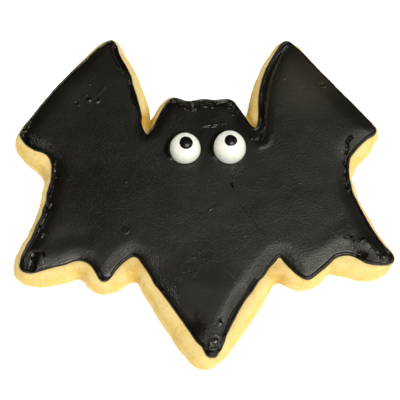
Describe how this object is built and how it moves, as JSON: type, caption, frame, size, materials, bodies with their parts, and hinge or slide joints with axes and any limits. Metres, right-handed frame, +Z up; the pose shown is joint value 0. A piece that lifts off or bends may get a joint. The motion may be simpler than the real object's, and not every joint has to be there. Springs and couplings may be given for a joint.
{
  "type": "iced sugar cookie",
  "caption": "Bat-shaped cut-out sugar cookie, its top flooded with black icing, with two round white candy eyes that have raised black pupils.",
  "frame": {"origin": "on the table, under the middle of the cookie's bounding box", "axes": "+Z up through the icing, +X across the wings towards the bat's right-hand side as seen from the tail, +Y from the tail towards the ears"},
  "size_m": [0.1146, 0.1108, 0.0138],
  "materials": {
    "baked_dough": "matt pale golden baked dough, browner in the notches and round the foot",
    "black_icing": "dried brownish black icing, satin, shinier where it rolls over the edge",
    "white_candy": "smooth warm white sugar, slightly waxy",
    "black_candy": "smooth black sugar, satin gloss"
  },
  "bodies": {
    "root": {"cookie": "baked_dough", "icing": "black_icing", "eye_left": "white_candy", "eye_right": "white_candy", "pupil_left": "black_candy", "pupil_right": "black_candy"}
  },
  "joints": []
}
